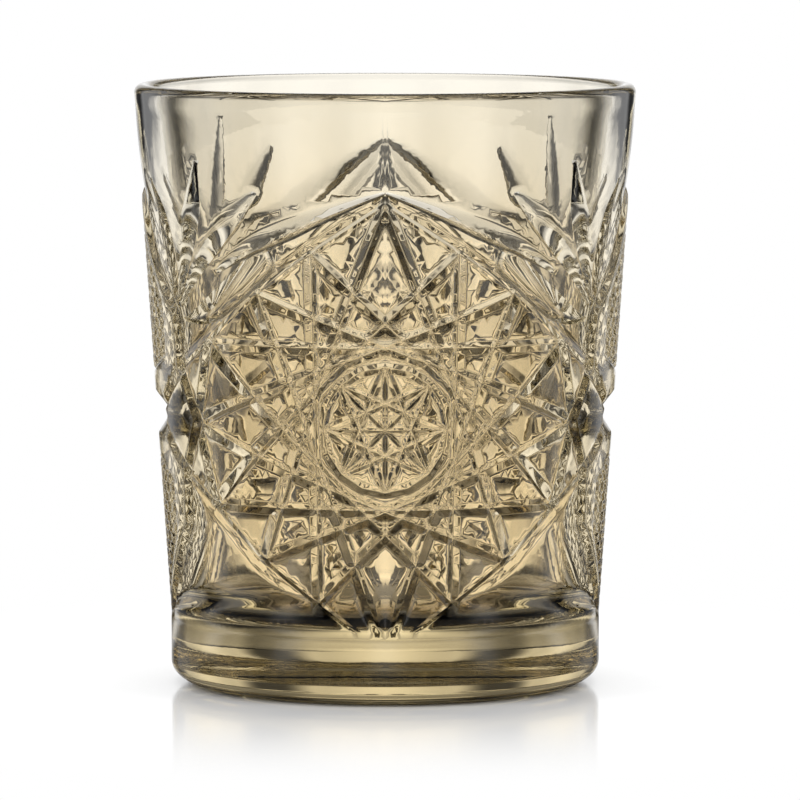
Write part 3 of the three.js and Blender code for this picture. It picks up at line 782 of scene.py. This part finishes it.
def floor_material():
    """Glossy white table: for the camera it takes shadow and reflection near the glass and is plain white
    further off. Seen from the glass it has a dark base colour (painted shade) and glows with painted light: a
    painted shadow near the glass, brighter further off, in the bright and dark wave of the backdrops.
    """
    material = bpy.data.materials.new("white_table_painted_in_glass")
    material.use_nodes = True
    tree = material.node_tree
    tree.nodes.clear()
    link = tree.links.new
    place = node(tree, "ShaderNodeTexCoord").outputs["Object"]
    away = node(tree, "ShaderNodeVectorMath", operation="LENGTH")
    link(place, away.inputs[0])
    far = ramp(tree, away.outputs["Value"], WHITE_FROM, WHITE_AT, 0, 1)
    haze = node(tree, "ShaderNodeTexNoise", Scale=TABLE_HAZE_SCALE)
    link(place, haze.inputs["Vector"])
    smooth, dull = TABLE_ROUGHNESS
    polish = node(tree, "ShaderNodeMapRange", To_Min=smooth, To_Max=dull)
    link(haze.outputs["Fac"], polish.inputs["Value"])
    table = node(tree, "ShaderNodeBsdfPrincipled", IOR=TABLE_IOR)
    link(polish.outputs["Result"], table.inputs["Roughness"])
    ray = node(tree, "ShaderNodeLightPath")
    # Painted shade: seen from the glass, the table takes a dark grey base colour in place of its white one,
    # as if that floor lay in shadow.
    shade = node(tree, "ShaderNodeMix", data_type="RGBA")
    painted_shade_in_glass, in_view = [socket for socket in shade.inputs if socket.type == "RGBA"]
    painted_shade_in_glass.default_value = FLOOR_PAINTED_SHADE_COLOUR
    in_view.default_value = FLOOR_COLOUR
    link(ray.outputs["Is Camera Ray"], shade.inputs["Factor"])
    link([socket for socket in shade.outputs if socket.type == "RGBA"][0], table.inputs["Base Color"])
    # Painted light and shadow: for rays from the glass the table glows. It is dark close to the glass as a
    # painted shadow, bright further off, and dimmed in the backdrops' dark gaps.
    near, middle, edge = FLOOR_PAINTED_SHADOW_AND_GLOW_RADII
    dark, bright, open_floor = FLOOR_PAINTED_SHADOW_AND_GLOW
    painted_shadow_near_glass = ramp(tree, away.outputs["Value"], near, middle, dark, bright)
    further = ramp(tree, away.outputs["Value"], middle, edge, 0, open_floor - bright)
    parts = node(tree, "ShaderNodeSeparateXYZ")
    link(place, parts.inputs["Vector"])
    side = ramp(tree, away.outputs["Value"], *FLOOR_PAINTED_GLOW_SIDE_FADE, FLOOR_PAINTED_GLOW_SIDE, BACKDROP_SIDE)
    painted_glow_in_glass = math_node(tree, "MULTIPLY", math_node(tree, "ADD", painted_shadow_near_glass, further),
                     backdrops(tree, parts.outputs["X"], parts.outputs["Y"], side))
    level = node(tree, "ShaderNodeMix", data_type="FLOAT")
    level.inputs["B"].default_value = 1.0
    link(painted_glow_in_glass, level.inputs["A"])
    link(ray.outputs["Is Camera Ray"], level.inputs["Factor"])
    # Emission: plain white for the camera, and the painted glow and shadow for rays from the glass.
    white = node(tree, "ShaderNodeEmission")
    white.inputs["Color"].default_value = (1, 1, 1, 1)
    link(level.outputs["Result"], white.inputs["Strength"])
    mixed = node(tree, "ShaderNodeMixShader")
    link(far, mixed.inputs["Fac"])
    link(table.outputs["BSDF"], mixed.inputs[1])
    link(white.outputs["Emission"], mixed.inputs[2])
    output = node(tree, "ShaderNodeOutputMaterial")
    link(mixed.outputs["Shader"], output.inputs["Surface"])
    return material


def studio_world():
    """White for the camera; for glass, backdrops all round with dark gaps between them."""
    world = bpy.data.worlds.new("studio")
    bpy.context.scene.world = world
    world.use_nodes = True
    tree = world.node_tree
    tree.nodes.clear()
    link = tree.links.new
    parts = node(tree, "ShaderNodeSeparateXYZ")
    link(node(tree, "ShaderNodeTexCoord").outputs["Generated"], parts.inputs["Vector"])
    across, along, up = parts.outputs
    sideways = math_node(tree, "ABSOLUTE", across)
    level = backdrops(tree, across, along, BACKDROP_SIDE)
    level = math_node(tree, "MULTIPLY", level, ramp(tree, up, *BACKDROP_TOP, 1, GAP_LEVEL))
    ceiling = ramp(tree, up, *OVERHEAD, 0, OVERHEAD_LEVEL)
    through_glass = math_node(tree, "MULTIPLY", level, ramp(tree, sideways, *SIDE_FROM, 1, SIDE_LEVEL))
    behind = math_node(tree, "ADD", through_glass, ceiling)
    mirrored = math_node(tree, "ADD", level, ceiling)
    sheen = math_node(tree, "MULTIPLY", mirrored, ramp(tree, along, *SHEEN_FROM, *SHEEN_LEVELS))
    ray = node(tree, "ShaderNodeLightPath").outputs
    seen = ray["Is Camera Ray"]
    for kind, strength in (
        ("Is Transmission Ray", behind),
        ("Is Glossy Ray", sheen),
        ("Is Diffuse Ray", AMBIENT_LEVEL),
    ):
        seen = math_node(tree, "MAXIMUM", seen, math_node(tree, "MULTIPLY", ray[kind], strength))
    background = node(tree, "ShaderNodeBackground")
    background.inputs["Color"].default_value = (1, 1, 1, 1)
    link(seen, background.inputs["Strength"])
    output = node(tree, "ShaderNodeOutputWorld")
    link(background.outputs["Background"], output.inputs["Surface"])


def softbox(name, place, size):
    """An area lamp that faces the glass and isn't seen in it."""
    data = bpy.data.lights.new(name, "AREA")
    data.shape = "RECTANGLE"
    data.size, data.size_y = size
    data.energy = LAMP_POWER
    lamp = bpy.data.objects.new(name, data)
    lamp.location = place
    lamp.visible_glossy = False
    lamp.visible_transmission = False
    lamp.rotation_euler = (Vector(LAMP_AIM) - Vector(place)).to_track_quat("-Z", "Y").to_euler()
    bpy.context.scene.collection.objects.link(lamp)


def table():
    """A round white table."""
    turns = [2 * math.pi * corner / TABLE_CORNERS for corner in range(TABLE_CORNERS)]
    rim = [(TABLE_RADIUS * math.cos(turn), TABLE_RADIUS * math.sin(turn), 0) for turn in turns]
    mesh = bpy.data.meshes.new("table")
    mesh.from_pydata(rim, [], [list(range(TABLE_CORNERS))])
    mesh.update()
    piece = bpy.data.objects.new("table", mesh)
    piece.data.materials.append(floor_material())
    bpy.context.scene.collection.objects.link(piece)


def camera():
    """The photograph's view: far off, a little above the rim, looking slightly down."""
    data = bpy.data.cameras.new("camera")
    data.lens = CAMERA_LENS
    data.sensor_width = 36
    data.clip_end = 50
    eye = bpy.data.objects.new("camera", data)
    eye.location = CAMERA_PLACE
    eye.rotation_euler = [math.radians(turn) for turn in CAMERA_TURN]
    bpy.context.scene.collection.objects.link(eye)
    bpy.context.scene.camera = eye


def glass():
    """The tumbler, in place of its plain solid."""
    points, faces = joined([turned(foot_profile()), wall(), turned(cavity_profile())])
    piece = new_object("tumbler_glass", rippled(points), faces)
    piece.data.materials.append(glass_material())
    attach(piece, "root")
    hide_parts("tumbler")


scene = bpy.context.scene
scene.view_settings.view_transform = "Standard"
scene.cycles.max_bounces = 24
scene.cycles.transmission_bounces = 24
scene.cycles.glossy_bounces = 8
scene.cycles.use_denoising = True
scene.cycles.caustics_reflective = False
scene.cycles.caustics_refractive = False

camera()
studio_world()
for name, (place, size) in LAMPS.items():
    softbox(name, place, size)
table()
glass()
